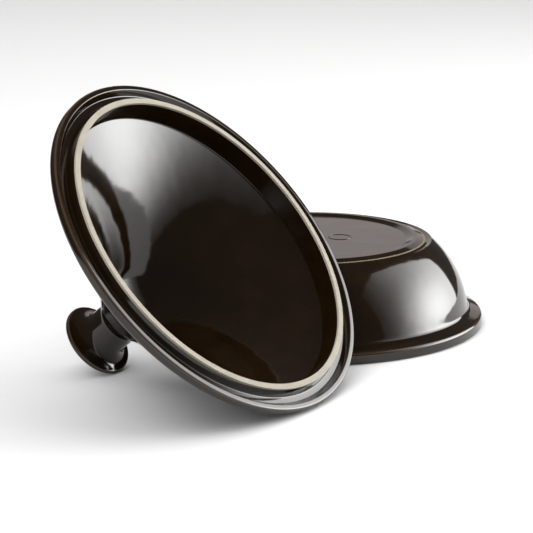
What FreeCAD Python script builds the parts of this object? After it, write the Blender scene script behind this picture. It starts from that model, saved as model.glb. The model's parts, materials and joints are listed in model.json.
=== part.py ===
import FreeCAD, Part
import Sketcher
import math
import os

# A glazed stoneware tagine: a shallow round dish and a wide conical lid with a flared knob.
# The dish stands upside down on its rim. The lid lies on its side in front of it, on the
# edge of its lip and the edge of its knob, with its mouth turned up and to the right.
#
# Each casting is drawn in its own upright frame, Z up along its axis:
#   lid:  height 0 at the bare rim that it is fired on, knob at the top
#   dish: height 0 at the crest of its foot ring, rim at the top
# Millimetres throughout; angles in degrees.

DIMENSIONS = {
    # lid, from the bare rim up
    "lid_radius": 160.0,            # outer face of the lip
    "lid_skirt_inner": 137.8,       # bare rim, inner edge
    "lid_skirt_outer": 142.7,       # bare rim, outer edge
    "lid_bare_depth": 2.0,          # how far the bare clay goes up the skirt
    "lid_channel_inner": 145.2,     # flat floor of the channel between skirt and lip
    "lid_channel_outer": 151.0,
    "lid_channel_height": 9.0,
    "lid_lip_inner": 154.9,         # inner edge of the lip
    "lid_lip_height": 4.2,          # the lip stops this far above the bare rim
    "lid_back_height": 11.4,        # where the lip's outer face meets the cone
    "lid_shoulder_radius": 78.0,    # the cone grows a little steeper above here
    "lid_shoulder_height": 69.0,
    "neck_root_height": 124.2,      # where the cone would meet the knob's neck
    "knob_seat_height": 130.0,      # joint where the knob is stuck on
    "lid_mouth_radius": 136.8,      # where the inner wall meets the inner cone
    "lid_mouth_height": 20.3,
    "lid_inner_arc": 440.0,         # the inner cone bows a little towards the axis
    "lid_dome_edge_radius": 37.6,   # where the inner cone meets the dome at its top
    "lid_dome_edge_height": 101.0,
    "lid_dome_height": 117.5,
    "lip_front_round": 2.0,
    "lip_back_round": 4.0,
    "lip_inner_round": 1.0,
    "channel_round": 1.2,
    "mouth_round": 2.2,
    "shoulder_round": 60.0,
    "neck_root_round": 12.0,
    # knob
    "knob_neck_radius": 20.0,
    "knob_neck_height": 153.0,      # where the neck would meet the underside of the flare
    "knob_radius": 33.0,
    "knob_edge_bottom": 156.0,
    "knob_edge_top": 160.4,
    "knob_edge_round": 2.0,
    "knob_flare_round": 13.0,
    "knob_hollow_radius": 27.0,     # shallow hollow in the knob's top
    "knob_hollow_depth": 3.0,
    # dish, from the foot up
    "dish_height": 81.2,
    "dish_radius": 160.0,
    "dish_mouth_radius": 147.5,
    "dish_rim_bottom": 71.3,        # lower edge of the rim's outer face
    "dish_neck_radius": 147.0,      # where the rim's underside meets the wall
    "dish_neck_height": 66.2,
    "dish_wall_top_radius": 145.45,
    "dish_wall_top_height": 59.0,
    "dish_wall_foot_radius": 112.0,
    "dish_wall_foot_height": 2.75,
    "dish_wall_arc": 98.3,
    "dish_valley_radius": 108.2,    # shallow valley between wall and foot
    "dish_valley_height": 3.8,
    "dish_band_outer": 106.3,       # bare clay band round the foot
    "dish_band_inner": 104.5,
    "dish_band_height": 2.1,
    "dish_band_depth": 1.5,
    "dish_crest_outer": 98.8,       # flat crest that the dish stands on
    "dish_crest_inner": 95.2,
    "dish_panel_radius": 89.0,      # recessed panel inside the foot ring
    "dish_panel_height": 2.3,
    "dish_floor_height": 10.4,
    "dish_floor_radius": 109.6,
    "dish_inner_arc": 91.1,
    "dish_inner_top_radius": 138.8,
    "dish_inner_top_height": 62.5,
    "rim_edge_round": 2.0,
    "rim_under_round": 3.4,
    "neck_round": 5.0,
    "crest_round": 0.9,
    "panel_round": 1.2,
    "floor_round": 14.0,
    "ring_mark_radius": 11.0,       # plain raised ring on the recessed panel
    "ring_mark_width": 1.1,
    "ring_mark_height": 0.4,
    "ring_mark_offset": 27.0,
    # how the two castings lie
    "lid_heading": -31.06,          # direction the mouth faces, from +X towards +Y
    "dish_from_lid_x": 84.2,
    "dish_from_lid_y": 229.3,
}

# Derived height, as a formula on the cells above.
BAND_TOP = "Dims.dish_band_height + Dims.dish_band_depth"

doc = FreeCAD.newDocument("Tagine")


def make_sheet():
    sheet = doc.addObject("Spreadsheet::Sheet", "Dims")
    for row, (alias, value) in enumerate(DIMENSIONS.items(), start=1):
        sheet.set(f"A{row}", alias)
        sheet.set(f"B{row}", str(value))
        sheet.setAlias(f"B{row}", alias)
    doc.recompute()
    return sheet


def origin_plane(body, role):
    for feature in body.Origin.OriginFeatures:
        if feature.Role == role:
            return feature
    raise RuntimeError("no origin plane " + role)


def new_body(name):
    body = doc.addObject("PartDesign::Body", name)
    body.Label = name
    return body


def new_sketch(body, name, role):
    sketch = body.newObject("Sketcher::SketchObject", name)
    sketch.AttachmentSupport = (origin_plane(body, role), [""])
    sketch.MapMode = "FlatFace"
    return sketch


def arc_between(start, end, radius, side):
    """Short arc from start to end. Side +1 puts its centre left of the way from start to end."""
    chord = end - start
    middle = (start + end) * 0.5
    sagitta = math.sqrt(radius ** 2 - (chord.Length / 2) ** 2)
    left = FreeCAD.Vector(-chord.y, chord.x, 0).normalize()
    centre = middle + left * sagitta * side
    first = math.atan2(start.y - centre.y, start.x - centre.x)
    last = math.atan2(end.y - centre.y, end.x - centre.x)
    if side < 0:
        first, last = last, first
    circle = Part.Circle(centre, FreeCAD.Vector(0, 0, 1), radius)
    return Part.ArcOfCircle(circle, first, last)


def pin_to(sketch, geometry, point, axis, expression):
    """Hold one coordinate of a sketch point at the value of an expression."""
    value = float(sketch.evalExpression(expression))
    if value == 0.0:
        line = -2 if axis == "DistanceX" else -1
        sketch.addConstraint(Sketcher.Constraint("PointOnObject", geometry, point, line))
        return
    index = sketch.addConstraint(Sketcher.Constraint(axis, -1, 1, geometry, point, value))
    name = f"{axis[-1].lower()}{geometry}_{point}"
    sketch.renameConstraint(index, name)
    sketch.setExpression("Constraints." + name, expression)


def draw_outline(sketch, points, arcs=None):
    """Closed outline through points, each a (radius, height) pair of expressions.

    arcs maps the number of a point to (radius expression, side) when the edge that leaves
    it is an arc; every other edge is straight.
    """
    arcs = arcs or {}
    places = []
    for radius, height in points:
        x = float(sketch.evalExpression(radius))
        y = float(sketch.evalExpression(height))
        places.append(FreeCAD.Vector(x, y, 0))
    starts = []
    for number, place in enumerate(places):
        following = places[(number + 1) % len(places)]
        if number in arcs:
            size, side = arcs[number]
            shape = arc_between(place, following, float(sketch.evalExpression(size)), side)
            starts.append(1 if side > 0 else 2)
        else:
            shape = Part.LineSegment(place, following)
            starts.append(1)
        sketch.addGeometry(shape, False)
    for number, (radius, height) in enumerate(points):
        following = (number + 1) % len(points)
        sketch.addConstraint(Sketcher.Constraint(
            "Coincident", number, 3 - starts[number], following, starts[following]))
        pin_to(sketch, number, starts[number], "DistanceX", radius)
        pin_to(sketch, number, starts[number], "DistanceY", height)
    for number, (size, _side) in arcs.items():
        value = float(sketch.evalExpression(size))
        index = sketch.addConstraint(Sketcher.Constraint("Radius", number, value))
        sketch.renameConstraint(index, f"arc{number}")
        sketch.setExpression(f"Constraints.arc{number}", size)


def revolve(body, points, arcs=None):
    sketch = new_sketch(body, body.Name + "_outline", "XZ_Plane")
    draw_outline(sketch, points, arcs)
    turned = body.newObject("PartDesign::Revolution", body.Name + "_revolved")
    turned.Profile = sketch
    turned.ReferenceAxis = (sketch, ["V_Axis"])
    turned.Angle = 360
    sketch.Visibility = False
    doc.recompute()
    return turned


def circle_edges(feature, radius, height):
    """Names of the circular edges with this radius and height about the body's axis."""
    wanted_radius = float(feature.evalExpression(radius))
    wanted_height = float(feature.evalExpression(height))
    names = []
    for number, edge in enumerate(feature.Shape.Edges, start=1):
        if edge.Degenerated or not isinstance(edge.Curve, Part.Circle):
            continue
        same_radius = abs(edge.Curve.Radius - wanted_radius) < 0.01
        if same_radius and abs(edge.Curve.Center.z - wanted_height) < 0.01:
            names.append(f"Edge{number}")
    if not names:
        raise RuntimeError(f"no edge at radius {wanted_radius} height {wanted_height}")
    return names


def round_edge(body, radius, height, alias):
    base = body.Tip
    fillet = body.newObject("PartDesign::Fillet", body.Name + "_" + alias)
    fillet.Base = (base, circle_edges(base, radius, height))
    fillet.setExpression("Radius", "Dims." + alias)
    doc.recompute()


def make_lid_cone():
    """Cone, lip, channel and skirt in one casting, up to the seat of the knob."""
    body = new_body("lid_cone")
    dome_rise = "(Dims.lid_dome_height - Dims.lid_dome_edge_height)"
    dome = f"(Dims.lid_dome_edge_radius ^ 2 + {dome_rise} ^ 2) / (2 * {dome_rise})"
    points = [
        ("Dims.lid_skirt_inner", "Dims.lid_bare_depth"),
        ("Dims.lid_skirt_outer", "Dims.lid_bare_depth"),
        ("Dims.lid_channel_inner", "Dims.lid_channel_height"),
        ("Dims.lid_channel_outer", "Dims.lid_channel_height"),
        ("Dims.lid_lip_inner", "Dims.lid_lip_height"),
        ("Dims.lid_radius", "Dims.lid_lip_height"),
        ("Dims.lid_radius", "Dims.lid_back_height"),
        ("Dims.lid_shoulder_radius", "Dims.lid_shoulder_height"),
        ("Dims.knob_neck_radius", "Dims.neck_root_height"),
        ("Dims.knob_neck_radius", "Dims.knob_seat_height"),
        ("0", "Dims.knob_seat_height"),
        ("0", "Dims.lid_dome_height"),
        ("Dims.lid_dome_edge_radius", "Dims.lid_dome_edge_height"),
        ("Dims.lid_mouth_radius", "Dims.lid_mouth_height"),
    ]
    revolve(body, points, {11: (dome, -1), 12: ("Dims.lid_inner_arc", 1)})
    round_edge(body, "Dims.lid_radius", "Dims.lid_lip_height", "lip_front_round")
    round_edge(body, "Dims.lid_radius", "Dims.lid_back_height", "lip_back_round")
    round_edge(body, "Dims.lid_lip_inner", "Dims.lid_lip_height", "lip_inner_round")
    round_edge(body, "Dims.lid_channel_inner", "Dims.lid_channel_height", "channel_round")
    round_edge(body, "Dims.lid_channel_outer", "Dims.lid_channel_height", "channel_round")
    round_edge(body, "Dims.lid_mouth_radius", "Dims.lid_mouth_height", "mouth_round")
    round_edge(body, "Dims.lid_shoulder_radius", "Dims.lid_shoulder_height", "shoulder_round")
    round_edge(body, "Dims.knob_neck_radius", "Dims.neck_root_height", "neck_root_round")
    return body


def make_lid_bare_rim():
    """Unglazed ring that closes the end of the skirt."""
    body = new_body("lid_bare_rim")
    points = [
        ("Dims.lid_skirt_inner", "0"),
        ("Dims.lid_skirt_outer", "0"),
        ("Dims.lid_skirt_outer", "Dims.lid_bare_depth"),
        ("Dims.lid_skirt_inner", "Dims.lid_bare_depth"),
    ]
    revolve(body, points)
    return body


def make_lid_knob():
    """Plain neck that flares into a thin-edged, slightly hollowed top."""
    body = new_body("lid_knob")
    points = [
        ("0", "Dims.knob_seat_height"),
        ("Dims.knob_neck_radius", "Dims.knob_seat_height"),
        ("Dims.knob_neck_radius", "Dims.knob_neck_height"),
        ("Dims.knob_radius", "Dims.knob_edge_bottom"),
        ("Dims.knob_radius", "Dims.knob_edge_top"),
        ("Dims.knob_hollow_radius", "Dims.knob_edge_top"),
        ("0", "Dims.knob_edge_top - Dims.knob_hollow_depth"),
    ]
    hollow = ("(Dims.knob_hollow_radius ^ 2 + Dims.knob_hollow_depth ^ 2)"
              " / (2 * Dims.knob_hollow_depth)")
    revolve(body, points, {5: (hollow, -1)})
    round_edge(body, "Dims.knob_radius", "Dims.knob_edge_bottom", "knob_edge_round")
    round_edge(body, "Dims.knob_radius", "Dims.knob_edge_top", "knob_edge_round")
    round_edge(body, "Dims.knob_neck_radius", "Dims.knob_neck_height", "knob_flare_round")
    return body


def make_dish_bowl():
    """Shallow bowl with an outward rim and a foot ring round a recessed panel."""
    body = new_body("dish_bowl")
    points = [
        ("0", "Dims.dish_panel_height"),
        ("Dims.dish_panel_radius", "Dims.dish_panel_height"),
        ("Dims.dish_crest_inner", "0"),
        ("Dims.dish_crest_outer", "0"),
        ("Dims.dish_band_inner", "Dims.dish_band_height"),
        ("Dims.dish_band_inner", BAND_TOP),
        ("Dims.dish_band_outer", BAND_TOP),
        ("Dims.dish_band_outer", "Dims.dish_band_height + Dims.dish_band_depth / 3"),
        ("Dims.dish_valley_radius", "Dims.dish_valley_height"),
        ("Dims.dish_wall_foot_radius", "Dims.dish_wall_foot_height"),
        ("Dims.dish_wall_top_radius", "Dims.dish_wall_top_height"),
        ("Dims.dish_neck_radius", "Dims.dish_neck_height"),
        ("Dims.dish_radius", "Dims.dish_rim_bottom"),
        ("Dims.dish_radius", "Dims.dish_height"),
        ("Dims.dish_mouth_radius", "Dims.dish_height"),
        ("Dims.dish_inner_top_radius", "Dims.dish_inner_top_height"),
        ("Dims.dish_floor_radius", "Dims.dish_floor_height"),
        ("0", "Dims.dish_floor_height"),
    ]
    arcs = {9: ("Dims.dish_wall_arc", 1), 15: ("Dims.dish_inner_arc", -1)}
    revolve(body, points, arcs)
    round_edge(body, "Dims.dish_radius", "Dims.dish_height", "rim_edge_round")
    round_edge(body, "Dims.dish_mouth_radius", "Dims.dish_height", "rim_edge_round")
    round_edge(body, "Dims.dish_radius", "Dims.dish_rim_bottom", "rim_under_round")
    round_edge(body, "Dims.dish_neck_radius", "Dims.dish_neck_height", "neck_round")
    round_edge(body, "Dims.dish_crest_outer", "0", "crest_round")
    round_edge(body, "Dims.dish_crest_inner", "0", "crest_round")
    round_edge(body, "Dims.dish_panel_radius", "Dims.dish_panel_height", "panel_round")
    round_edge(body, "Dims.dish_floor_radius", "Dims.dish_floor_height", "floor_round")
    add_ring_mark(body)
    return body


def add_ring_mark(body):
    """Plain raised ring off the middle of the recessed panel."""
    sketch = new_sketch(body, "ring_mark_outline", "XY_Plane")
    sketch.setExpression("AttachmentOffset.Base.z", "Dims.dish_panel_height")
    sizes = ("Dims.ring_mark_radius", "Dims.ring_mark_radius - Dims.ring_mark_width")
    for number, size in enumerate(sizes):
        offset = float(sketch.evalExpression("Dims.ring_mark_offset"))
        radius = float(sketch.evalExpression(size))
        centre = FreeCAD.Vector(offset, 0, 0)
        sketch.addGeometry(Part.Circle(centre, FreeCAD.Vector(0, 0, 1), radius), False)
        sketch.addConstraint(Sketcher.Constraint("PointOnObject", number, 3, -1))
        index = sketch.addConstraint(
            Sketcher.Constraint("DistanceX", -1, 1, number, 3, offset))
        sketch.renameConstraint(index, f"offset{number}")
        sketch.setExpression(f"Constraints.offset{number}", "Dims.ring_mark_offset")
        index = sketch.addConstraint(Sketcher.Constraint("Radius", number, radius))
        sketch.renameConstraint(index, f"radius{number}")
        sketch.setExpression(f"Constraints.radius{number}", size)
    before = body.Shape.Volume
    pad = body.newObject("PartDesign::Pad", "ring_mark")
    pad.Profile = sketch
    pad.setExpression("Length", "Dims.ring_mark_height")
    pad.Reversed = True
    sketch.Visibility = False
    doc.recompute()
    if body.Shape.Volume <= before:
        raise RuntimeError("the ring mark added no clay")


def make_dish_bare_band():
    """Unglazed band let into the outside of the foot."""
    body = new_body("dish_bare_band")
    points = [
        ("Dims.dish_band_inner", "Dims.dish_band_height"),
        ("Dims.dish_band_outer", "Dims.dish_band_height + Dims.dish_band_depth / 3"),
        ("Dims.dish_band_outer", BAND_TOP),
        ("Dims.dish_band_inner", BAND_TOP),
    ]
    revolve(body, points)
    return body


def resting_tilt(sheet):
    """Height of the mouth's direction above level when lip and knob both touch the floor."""
    cone_width = sheet.lid_radius - sheet.lid_shoulder_radius
    cone_rise = sheet.lid_shoulder_height - sheet.lid_back_height
    turn = math.atan2(cone_width, cone_rise)
    lip_round = sheet.lip_back_round
    lip_radius = sheet.lid_radius - lip_round
    lip_height = sheet.lid_back_height - lip_round * math.tan(turn / 2)
    knob_round = sheet.knob_edge_round
    knob_radius = sheet.knob_radius - knob_round
    knob_height = sheet.knob_edge_top - knob_round
    across = lip_radius - knob_radius
    along = knob_height - lip_height
    spread = math.hypot(across, along)
    tilt = math.acos((knob_round - lip_round) / spread) - math.atan2(along, across)
    lift = lip_radius * math.cos(tilt) + lip_height * math.sin(tilt) + lip_round
    return tilt, lift


def place_castings(sheet, lid_bodies, dish_bodies):
    """Lay the lid and stand the dish, then centre their common footprint on the origin."""
    tilt, lift = resting_tilt(sheet)
    heading = math.radians(sheet.lid_heading)
    knob_way = FreeCAD.Vector(
        -math.cos(tilt) * math.cos(heading),
        -math.cos(tilt) * math.sin(heading),
        -math.sin(tilt))
    lid_turn = FreeCAD.Rotation(FreeCAD.Vector(0, 0, 1), knob_way)
    dish_turn = FreeCAD.Rotation(FreeCAD.Vector(1, 0, 0), 180)
    lid_place = FreeCAD.Vector(0, 0, lift)
    dish_place = FreeCAD.Vector(sheet.dish_from_lid_x, sheet.dish_from_lid_y, sheet.dish_height)
    for body in lid_bodies:
        body.Placement = FreeCAD.Placement(lid_place, lid_turn)
    for body in dish_bodies:
        body.Placement = FreeCAD.Placement(dish_place, dish_turn)
    doc.recompute()
    box = FreeCAD.BoundBox()
    for body in lid_bodies + dish_bodies:
        box.add(body.Shape.optimalBoundingBox(False, False))
    shift = FreeCAD.Vector(-box.Center.x, -box.Center.y, 0)
    for body in lid_bodies + dish_bodies:
        body.Placement.Base = body.Placement.Base + shift
    doc.recompute()
    print(f"tilt {math.degrees(tilt):.3f} deg, lid at {lid_bodies[0].Placement.Base},"
          f" dish at {dish_bodies[0].Placement.Base}, box {box}")


def check_and_write(bodies):
    for item in doc.Objects:
        if "Invalid" in item.State or "Error" in item.State:
            raise RuntimeError(f"{item.Name} failed: {item.State}")
    for body in bodies:
        if body.Shape.isNull() or not body.Shape.isValid() or len(body.Shape.Solids) != 1:
            raise RuntimeError(f"{body.Label} has no valid single solid")
    os.makedirs("parts", exist_ok=True)
    for body in bodies:
        body.Shape.exportStep(f"parts/{body.Label}.step")
        print(f"{body.Label}: {body.Shape.Volume / 1000:.1f} cm3")


dims = make_sheet()
lid = [make_lid_cone(), make_lid_bare_rim(), make_lid_knob()]
dish = [make_dish_bowl(), make_dish_bare_band()]
place_castings(dims, lid, dish)
check_and_write(lid + dish)
gap = lid[0].Shape.distToShape(dish[0].Shape)[0]
print(f"gap between lid and dish: {gap:.2f} mm")
if gap < 0.5:
    raise RuntimeError("the lid lies too close to the dish")
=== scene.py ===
"""A glazed stoneware tagine: the lid lies on its side in front of its upturned dish.

Both castings are turned on a lathe from their outlines, with rounded corners, and stand
for the plain CAD nodes. Outlines are in millimetres in each casting's own upright frame,
(radius, height), as in the CAD; everything else is in metres in the row frame.
"""

import json
import math

import bmesh
import bpy
from mathutils import Matrix, Vector


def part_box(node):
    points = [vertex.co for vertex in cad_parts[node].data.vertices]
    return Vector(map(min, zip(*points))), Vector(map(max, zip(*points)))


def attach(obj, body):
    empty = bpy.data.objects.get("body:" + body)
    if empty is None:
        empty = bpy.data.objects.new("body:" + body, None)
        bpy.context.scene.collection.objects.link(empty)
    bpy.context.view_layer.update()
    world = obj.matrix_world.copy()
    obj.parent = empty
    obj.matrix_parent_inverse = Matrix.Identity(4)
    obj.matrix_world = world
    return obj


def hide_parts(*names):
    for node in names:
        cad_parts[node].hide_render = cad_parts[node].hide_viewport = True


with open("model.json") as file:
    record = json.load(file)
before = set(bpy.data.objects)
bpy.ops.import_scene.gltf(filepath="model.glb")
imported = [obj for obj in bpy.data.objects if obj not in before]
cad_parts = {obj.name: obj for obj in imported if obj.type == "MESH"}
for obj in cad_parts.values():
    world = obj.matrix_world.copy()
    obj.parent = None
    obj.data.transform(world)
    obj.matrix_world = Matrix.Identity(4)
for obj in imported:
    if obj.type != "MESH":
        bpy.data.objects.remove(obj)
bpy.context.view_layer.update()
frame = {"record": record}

MM = 0.001
TURN_STEPS = 512            # facets round each casting
RUN_STEP = 2.5              # mm between points along a plain stretch of outline
CORNER_STEPS = 10           # points round each rounded corner
SHARP_ANGLE = math.radians(38)


# ---------------------------------------------------------------- where the castings are

def mount_axis(name):
    for mount in frame["record"]["mounts"]:
        if mount["name"] == name:
            return Vector(mount["axis"]).normalized()
    raise ValueError("no mount " + name)


def box_centre(node):
    low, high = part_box(node)
    return (low + high) / 2


def turned_to(up, base):
    """Placement of an upright casting whose +Z is turned to up and whose origin is at base."""
    return Matrix.Translation(base) @ up.to_track_quat("Z", "Y").to_matrix().to_4x4()


BARE_RIM_DEPTH = 2.0
mouth_way = mount_axis("lid_rim_face")
lid_base = box_centre("lid_bare_rim") + mouth_way * (BARE_RIM_DEPTH / 2 * MM)
lid_place = turned_to(-mouth_way, lid_base)

dish_low, dish_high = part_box("dish_bowl")
dish_middle = (dish_low + dish_high) / 2
dish_base = Vector((dish_middle.x, dish_middle.y, dish_high.z))
dish_place = Matrix.Translation(dish_base) @ Matrix.Rotation(math.pi, 4, "X")


# ---------------------------------------------------------------- outlines

def arc(start, end, radius, side):
    """Points strictly between start and end of a short arc.

    Side +1 puts its centre left of the way from start to end.
    """
    start, end = Vector(start), Vector(end)
    chord = end - start
    left = Vector((-chord.y, chord.x)).normalized()
    centre = (start + end) / 2 + left * side * math.sqrt(radius ** 2 - (chord.length / 2) ** 2)
    first = math.atan2(start.y - centre.y, start.x - centre.x)
    sweep = math.atan2(end.y - centre.y, end.x - centre.x) - first
    sweep = (sweep + math.pi) % math.tau - math.pi
    count = max(3, int(abs(sweep) * radius / RUN_STEP))
    points = []
    for step in range(1, count):
        angle = first + sweep * step / count
        points.append((centre.x + radius * math.cos(angle), centre.y + radius * math.sin(angle), 0))
    return points


def walk(points, start, direction, distance):
    """The place this far along the outline from point start, and the point beyond it."""
    here = start
    while True:
        following = here + direction
        if not 0 <= following < len(points):
            return points[here], here
        gap = (points[following] - points[here]).length
        if gap >= distance:
            return points[here].lerp(points[following], distance / gap), following
        distance -= gap
        here = following


def rounded(corners):
    """Outline as (radius, height, edge) points, its corners rounded as their third value says.

    edge is 1 on a tight outward corner, where glaze runs thin, and 0 elsewhere.
    """
    points = [Vector(corner[:2]) for corner in corners]
    outline = []
    skip_to = 0
    for number, point in enumerate(points):
        if number < skip_to:
            continue
        radius = corners[number][2]
        if radius == 0 or number in (0, len(points) - 1):
            outline.append((point.x, point.y, 0.0))
            continue
        arriving = (point - points[number - 1]).normalized()
        leaving = (points[number + 1] - point).normalized()
        turn = arriving.angle(leaving)
        reach = radius * math.tan(turn / 2)
        start, before = walk(points, number, -1, reach)
        end, after = walk(points, number, 1, reach)
        reached = (start - point).length
        while before < number - 1 and (Vector(outline[-1][:2]) - point).length < reached:
            outline.pop()
        pull = 4 / 3 * math.tan(turn / 4) * radius
        start_pull = start + (start - points[before]).normalized() * pull
        end_pull = end - (points[after] - end).normalized() * pull
        outward = arriving.x * leaving.y - arriving.y * leaving.x > 0
        edge = min(1.0, 3.0 / radius) if outward else 0.0
        for step in range(CORNER_STEPS + 1):
            t = step / CORNER_STEPS
            place = (start * (1 - t) ** 3 + start_pull * 3 * t * (1 - t) ** 2
                     + end_pull * 3 * t * t * (1 - t) + end * t ** 3)
            outline.append((place.x, place.y, edge * math.sin(math.pi * t)))
        skip_to = after
    return outline


def refined(outline):
    """The same outline with long straight runs cut into short ones."""
    finer = [outline[0]]
    for x, y, edge in outline[1:]:
        last_x, last_y, last_edge = finer[-1]
        count = max(1, round(math.hypot(x - last_x, y - last_y) / RUN_STEP))
        for step in range(1, count + 1):
            t = step / count
            finer.append((last_x + (x - last_x) * t, last_y + (y - last_y) * t,
                          last_edge + (edge - last_edge) * t))
    return finer


def lathe(name, corners, place, offset=0.0):
    """Mesh object turned from an outline that is listed anticlockwise, radius to the right.

    offset moves its axis sideways, in mm. A closed outline clear of the axis ends where it
    began; any other starts and ends on the axis.
    """
    outline = refined(rounded(corners))
    closed = corners[0][:2] == corners[-1][:2]
    if closed:
        outline = outline[:-1]
    mesh = bmesh.new()
    thin = mesh.verts.layers.float.new("thin_glaze")
    rings = []
    for radius, height, edge in outline:
        if radius < 0.01:
            ring = [mesh.verts.new((offset * MM, 0, height * MM))]
        else:
            ring = []
            for step in range(TURN_STEPS):
                angle = math.tau * step / TURN_STEPS
                x = offset + radius * math.cos(angle)
                ring.append(mesh.verts.new((x * MM, radius * math.sin(angle) * MM, height * MM)))
        for vertex in ring:
            vertex[thin] = edge
        rings.append(ring)
    pairs = list(zip(rings, rings[1:]))
    if closed:
        pairs.append((rings[-1], rings[0]))
    for lower, upper in pairs:
        for step in range(TURN_STEPS):
            following = (step + 1) % TURN_STEPS
            if len(lower) == 1 and len(upper) > 1:
                mesh.faces.new((lower[0], upper[following], upper[step]))
            elif len(upper) == 1 and len(lower) > 1:
                mesh.faces.new((lower[step], lower[following], upper[0]))
            elif len(upper) > 1:
                mesh.faces.new((lower[step], lower[following], upper[following], upper[step]))
    bmesh.ops.recalc_face_normals(mesh, faces=mesh.faces)
    bmesh.ops.transform(mesh, matrix=place, verts=mesh.verts, space=Matrix.Identity(4))
    data = bpy.data.meshes.new(name)
    mesh.to_mesh(data)
    mesh.free()
    data.shade_smooth()
    data.set_sharp_from_angle(angle=SHARP_ANGLE)
    piece = bpy.data.objects.new(name, data)
    bpy.context.scene.collection.objects.link(piece)
    return piece


# ---------------------------------------------------------------- sizes

LIP = 160.0                 # outer radius of the lid's lip and of the dish's rim
CONE_FOOT = 11.4            # height where the lip's outer face meets the cone
SHOULDER = (78.0, 69.0)     # the cone grows a little steeper above here
MOUTH = (136.8, 20.3)       # where the lid's inner wall meets its inner cone
INNER_ARC = 440.0           # the inner cone bows a little towards the axis
DOME_EDGE = (37.6, 101.0)   # where the inner cone meets the dome at its top
DOME_TOP = 117.5
SKIRT = (137.8, 142.7)      # inner and outer radius of the bare rim
NECK = 20.0                 # radius of the knob's neck
NECK_ROOT = 124.2           # where the cone would meet the neck
SEAT = 130.0                # height of the joint between lid and knob
DISH_HEIGHT = 81.2


def lid_cone_outline():
    rise = DOME_TOP - DOME_EDGE[1]
    dome = (DOME_EDGE[0] ** 2 + rise ** 2) / (2 * rise)
    return ([(0, DOME_TOP, 0)] + arc((0, DOME_TOP), DOME_EDGE, dome, -1)
            + [(*DOME_EDGE, 0)] + arc(DOME_EDGE, MOUTH, INNER_ARC, 1)
            + [(*MOUTH, 2.2), (SKIRT[0], BARE_RIM_DEPTH, 0), (SKIRT[1], BARE_RIM_DEPTH, 0),
               (145.2, 9.0, 1.2), (151.0, 9.0, 1.2), (154.9, 4.2, 1.0), (LIP, 4.2, 2.05),
               (LIP, CONE_FOOT, 4.0), (*SHOULDER, 60.0), (NECK, NECK_ROOT, 12.0),
               (NECK, SEAT, 0), (0, SEAT, 0)])


def lid_bare_rim_outline():
    return [(SKIRT[0], 0, 0), (SKIRT[1], 0, 0), (SKIRT[1], BARE_RIM_DEPTH, 0),
            (SKIRT[0], BARE_RIM_DEPTH, 0), (SKIRT[0], 0, 0)]


def lid_knob_outline():
    edge, hollow, depth = 160.4, 27.0, 3.0
    hollow_radius = (hollow ** 2 + depth ** 2) / (2 * depth)
    return ([(0, SEAT, 0), (NECK, SEAT, 0), (NECK, 153.0, 13.0), (33.0, 156.0, 2.0),
             (33.0, edge, 2.0), (hollow, edge, 0)]
            + arc((hollow, edge), (0, edge - depth), hollow_radius, -1)
            + [(0, edge - depth, 0)])


def dish_outline():
    foot, top = (112.0, 2.75), (145.45, 59.0)
    inner_top, floor = (138.8, 62.5), (109.6, 10.4)
    return ([(0, 2.3, 0), (89.0, 2.3, 1.2), (95.2, 0, 0.9), (98.8, 0, 0.9), (104.5, 2.1, 0),
             (104.5, 3.6, 0), (106.3, 3.6, 0), (106.3, 2.6, 0), (108.2, 3.8, 0), (*foot, 0)]
            + arc(foot, top, 98.3, 1)
            + [(*top, 0), (147.0, 66.2, 5.0), (LIP, 71.3, 3.4), (LIP, DISH_HEIGHT, 2.0),
               (147.5, DISH_HEIGHT, 2.0), (*inner_top, 0)]
            + arc(inner_top, floor, 91.1, -1)
            + [(*floor, 14.0), (0, 10.4, 0)])


def dish_band_outline():
    return [(104.5, 2.1, 0), (106.3, 2.6, 0), (106.3, 3.6, 0), (104.5, 3.6, 0), (104.5, 2.1, 0)]


def ring_mark_outline():
    return [(9.9, 2.4, 0), (9.9, 1.9, 0.3), (11.0, 1.9, 0.3), (11.0, 2.4, 0), (9.9, 2.4, 0)]


# ---------------------------------------------------------------- materials

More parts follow.
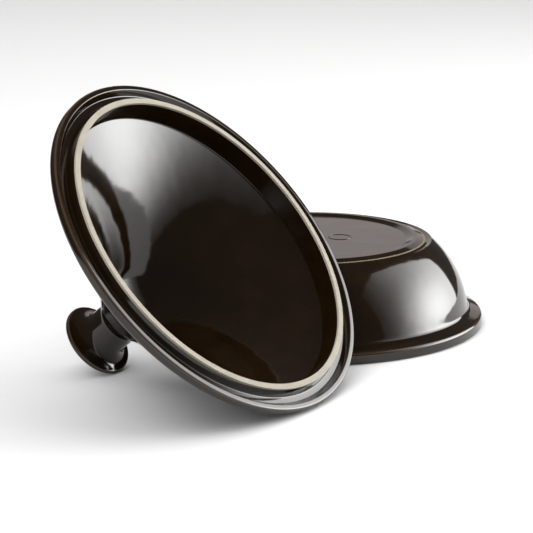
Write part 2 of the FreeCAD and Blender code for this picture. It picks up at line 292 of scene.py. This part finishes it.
class Nodes:
    """A material's node tree, with short calls for adding and joining nodes."""

    def __init__(self, name):
        self.material = bpy.data.materials.new(name)
        self.material.use_nodes = True
        self.tree = self.material.node_tree
        self.shader = self.tree.nodes["Principled BSDF"]

    def add(self, kind, **values):
        node = self.tree.nodes.new(kind)
        for name, value in values.items():
            if name in node.inputs:
                node.inputs[name].default_value = value
            else:
                setattr(node, name, value)
        return node

    def link(self, output, target):
        self.tree.links.new(output, target)

    def noise(self, scale, detail=3.0):
        coordinates = self.add("ShaderNodeTexCoord")
        noise = self.add("ShaderNodeTexNoise", Scale=scale, Detail=detail)
        self.link(coordinates.outputs["Object"], noise.inputs["Vector"])
        return noise.outputs["Fac"]

    def ramp(self, value, low, high, start=0.0, end=1.0):
        """value stretched from start..end to low..high."""
        node = self.add("ShaderNodeMapRange")
        node.inputs["From Min"].default_value = start
        node.inputs["From Max"].default_value = end
        node.inputs["To Min"].default_value = low
        node.inputs["To Max"].default_value = high
        self.link(value, node.inputs["Value"])
        return node.outputs["Result"]

    def blend(self, factor, first, second):
        node = self.add("ShaderNodeMix", data_type="RGBA")
        colours = [socket for socket in node.inputs if socket.type == "RGBA"]
        for socket, colour in zip(colours, (first, second)):
            if isinstance(colour, tuple):
                socket.default_value = (*colour, 1)
            else:
                self.link(colour, socket)
        self.link(factor, node.inputs["Factor"])
        return [socket for socket in node.outputs if socket.type == "RGBA"][0]

    def bumps(self, *layers):
        """Bump from (height, depth in metres) layers, one on top of another."""
        normal = None
        for height, depth in layers:
            bump = self.add("ShaderNodeBump", Strength=1.0, Distance=depth)
            self.link(height, bump.inputs["Height"])
            if normal is not None:
                self.link(normal, bump.inputs["Normal"])
            normal = bump.outputs["Normal"]
        self.link(normal, self.shader.inputs["Normal"])


def dark_glaze():
    """Near-black warm glaze that breaks to brown where it runs thin over an edge."""
    nodes = Nodes("dark_glaze_gloss")
    thin = nodes.add("ShaderNodeAttribute", attribute_name="thin_glaze").outputs["Fac"]
    mottle = nodes.ramp(nodes.noise(42, 5), 0.0, 1.0, 0.35, 0.7)
    body = nodes.blend(mottle, (0.0055, 0.0028, 0.0009), (0.008, 0.004, 0.0013))
    breaking = nodes.ramp(thin, 0.0, 0.55, 0.1, 1.0)
    colour = nodes.blend(breaking, body, (0.055, 0.036, 0.022))
    nodes.link(colour, nodes.shader.inputs["Base Color"])
    roughness = nodes.ramp(nodes.noise(30, 4), 0.07, 0.10, 0.3, 0.7)
    nodes.link(roughness, nodes.shader.inputs["Roughness"])
    nodes.shader.inputs["IOR"].default_value = 1.55
    nodes.bumps((nodes.noise(28, 2), 0.00035), (nodes.noise(700, 2), 0.000006))
    return nodes.material


def bare_clay(name, light, dark):
    """Unglazed clay with a fine open grain."""
    nodes = Nodes(name)
    grain = nodes.ramp(nodes.noise(1400, 4), 0.0, 1.0, 0.35, 0.75)
    fine = nodes.blend(grain, light, dark)
    patch = nodes.ramp(nodes.noise(60, 3), 0.0, 0.6, 0.45, 0.8)
    colour = nodes.blend(patch, fine, tuple(0.85 * value for value in dark))
    nodes.link(colour, nodes.shader.inputs["Base Color"])
    nodes.shader.inputs["Roughness"].default_value = 0.85
    nodes.bumps((nodes.noise(1800, 3), 0.0001))
    return nodes.material


def floor_material():
    nodes = Nodes("studio_floor")
    nodes.shader.inputs["Base Color"].default_value = (0.5, 0.5, 0.5, 1)
    nodes.shader.inputs["Roughness"].default_value = 0.9
    nodes.shader.inputs["Specular IOR Level"].default_value = 0.1
    return nodes.material


# ---------------------------------------------------------------- pieces

def finish_piece(piece, material, body, slot, *nodes):
    piece.data.materials.append(material)
    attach(piece, body)
    if nodes:
        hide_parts(*nodes)


def make_pieces():
    glaze = dark_glaze()
    cream = bare_clay("cream_clay", (0.28, 0.257, 0.21), (0.225, 0.2, 0.16))
    khaki = bare_clay("khaki_clay", (0.13, 0.105, 0.065), (0.08, 0.063, 0.036))
    finish_piece(lathe("lid_shell", lid_cone_outline(), lid_place),
                 glaze, "lid", "dark_glaze", "lid_cone")
    finish_piece(lathe("lid_clay_ring", lid_bare_rim_outline(), lid_place),
                 cream, "lid", "bare_clay", "lid_bare_rim")
    finish_piece(lathe("lid_handle", lid_knob_outline(), lid_place),
                 glaze, "lid", "dark_glaze", "lid_knob")
    finish_piece(lathe("dish_shell", dish_outline(), dish_place),
                 glaze, "dish", "dark_glaze", "dish_bowl")
    finish_piece(lathe("dish_clay_band", dish_band_outline(), dish_place),
                 khaki, "dish", "bare_clay", "dish_bare_band")
    finish_piece(lathe("dish_ring_mark", ring_mark_outline(), dish_place, offset=27.0),
                 glaze, "dish", "dark_glaze")


# ---------------------------------------------------------------- studio

FLOOR_SIZE = 16.0
FLOOR_EDGE = 0.9            # x where the mirrored sheet of the floor ends
CAMERA_TARGET = Vector((-0.01477, 0.31727, 0.0))
CAMERA_ELEVATION = math.radians(13.565)
CAMERA_DISTANCE = 2.2958
CAMERA_LENS = 150.63
SENSOR = 36.0


def make_floor():
    """Floor in two sheets, side by side.

    The one on the right is left out of reflections, so that the glaze mirrors the softbox
    down past the edge of the other.
    """
    half = FLOOR_SIZE / 2
    material = floor_material()
    sheets = (("floor", -half, FLOOR_EDGE, True), ("floor_right", FLOOR_EDGE, half, False))
    for name, left, right, mirrored in sheets:
        data = bpy.data.meshes.new(name)
        corners = [(left, -half, 0), (right, -half, 0), (right, half, 0), (left, half, 0)]
        data.from_pydata(corners, [], [(0, 1, 2, 3)])
        data.materials.append(material)
        sheet = bpy.data.objects.new(name, data)
        sheet.visible_glossy = mirrored
        bpy.context.scene.collection.objects.link(sheet)


def make_camera():
    data = bpy.data.cameras.new("camera")
    data.lens = CAMERA_LENS
    data.sensor_width = SENSOR
    camera = bpy.data.objects.new("camera", data)
    bpy.context.scene.collection.objects.link(camera)
    back = Vector((0, -math.cos(CAMERA_ELEVATION), math.sin(CAMERA_ELEVATION)))
    camera.location = CAMERA_TARGET + back * CAMERA_DISTANCE
    camera.rotation_mode = "QUATERNION"
    camera.rotation_quaternion = (-back).to_track_quat("-Z", "Y")
    bpy.context.scene.camera = camera


def compass(azimuth, elevation):
    """Unit direction; azimuth 0 is towards the camera (-Y) and 90 is +X."""
    a, e = math.radians(azimuth), math.radians(elevation)
    return Vector((math.sin(a) * math.cos(e), -math.cos(a) * math.cos(e), math.sin(e)))


def area_light(name, place, towards, width, height, brightness):
    """Panel whose face is this bright, where 1 shows as plain white."""
    data = bpy.data.lights.new(name, "AREA")
    data.shape = "RECTANGLE"
    data.size = width
    data.size_y = height
    data.energy = brightness * math.pi * width * height
    light = bpy.data.objects.new(name, data)
    bpy.context.scene.collection.objects.link(light)
    light.location = place
    light.rotation_mode = "QUATERNION"
    light.rotation_quaternion = (towards - place).to_track_quat("-Z", "Y")
    return light


SOFTBOX_DISTANCE = 2.2
SOFTBOX_SIZE = 5.4
CLOTH_EDGE = 1.28           # the cloth ends this far from its middle, on the far side
CLOTH_CORNER = 1.93         # its upper far corner is cut off along x + y = this
# Glows on the cloth: brightness, middle (x, y) and spread (x, y). Metres from the middle
# of the cloth, x away from the camera and y up.
GLOWS = (
    (9.6, (-0.25, 0.0), (0.62, 0.57)),
    (4.3, (0.7, 0.0), (1.36, 2.2)),
)


class LightNodes:
    """Arithmetic on an area light's own coordinates, in metres from its middle."""

    def __init__(self, light, size):
        light.use_nodes = True
        self.tree = light.node_tree
        self.emission = self.tree.nodes["Emission"]
        geometry = self.tree.nodes.new("ShaderNodeNewGeometry")
        split = self.tree.nodes.new("ShaderNodeSeparateXYZ")
        self.tree.links.new(geometry.outputs["Parametric"], split.inputs[0])
        self.x = self.maths("MULTIPLY_ADD", split.outputs[0], size, -size / 2)
        self.y = self.maths("MULTIPLY_ADD", split.outputs[1], size, -size / 2)

    def maths(self, operation, *values):
        node = self.tree.nodes.new("ShaderNodeMath")
        node.operation = operation
        for socket, value in zip(node.inputs, values):
            if isinstance(value, (int, float)):
                socket.default_value = value
            else:
                self.tree.links.new(value, socket)
        return node.outputs[0]

    def bell(self, place, middle, spread):
        """Exponent of a bell curve along one axis."""
        off = self.maths("MULTIPLY_ADD", place, 1 / spread, -middle / spread)
        return self.maths("MULTIPLY", self.maths("MULTIPLY", off, off), -0.5)


def make_cloth_glow(light):
    """Two glows on the softbox, cut off where its cloth ends."""
    nodes = LightNodes(light.data, SOFTBOX_SIZE)
    total = 0.0
    for brightness, middle, spread in GLOWS:
        across = nodes.bell(nodes.x, middle[0], spread[0])
        along = nodes.bell(nodes.y, middle[1], spread[1])
        glow = nodes.maths("EXPONENT", nodes.maths("ADD", across, along))
        total = nodes.maths("MULTIPLY_ADD", glow, brightness, total)
    in_edge = nodes.maths("LESS_THAN", nodes.x, CLOTH_EDGE)
    in_corner = nodes.maths("LESS_THAN", nodes.maths("ADD", nodes.x, nodes.y), CLOTH_CORNER)
    cloth = nodes.maths("MULTIPLY", in_edge, in_corner)
    nodes.tree.links.new(nodes.maths("MULTIPLY", total, cloth), nodes.emission.inputs["Strength"])


def make_lights():
    aim = Vector((dish_base.x, dish_base.y, 0.05))
    softbox = area_light("softbox", aim + compass(103, 8) * SOFTBOX_DISTANCE, aim,
                         SOFTBOX_SIZE, SOFTBOX_SIZE, 1.0)
    make_cloth_glow(softbox)
    overhead = area_light("overhead", Vector((-0.3, 0.9, 3.0)), Vector((-0.3, 0.9, 0)),
                          5.0, 5.0, 3.0)
    overhead.visible_glossy = False
    backdrop = area_light("backdrop", Vector((0, 4.0, 1.2)), Vector((0, 0, 0.1)),
                          3.0, 1.8, 0.55)
    backdrop.data.color = (1.0, 0.9, 0.87)
    fill = area_light("fill", aim + compass(-35, 35) * 2.5, aim, 2.5, 2.5, 3.4)
    fill.visible_glossy = False
    for light in (softbox, overhead, backdrop, fill):
        light.visible_camera = False
    world = bpy.data.worlds.new("studio")
    world.use_nodes = True
    background = world.node_tree.nodes["Background"]
    background.inputs["Color"].default_value = (0.97, 0.97, 1.0, 1)
    background.inputs["Strength"].default_value = 0.08
    bpy.context.scene.world = world


make_pieces()
make_floor()
make_camera()
make_lights()
bpy.context.scene.view_settings.view_transform = "Standard"
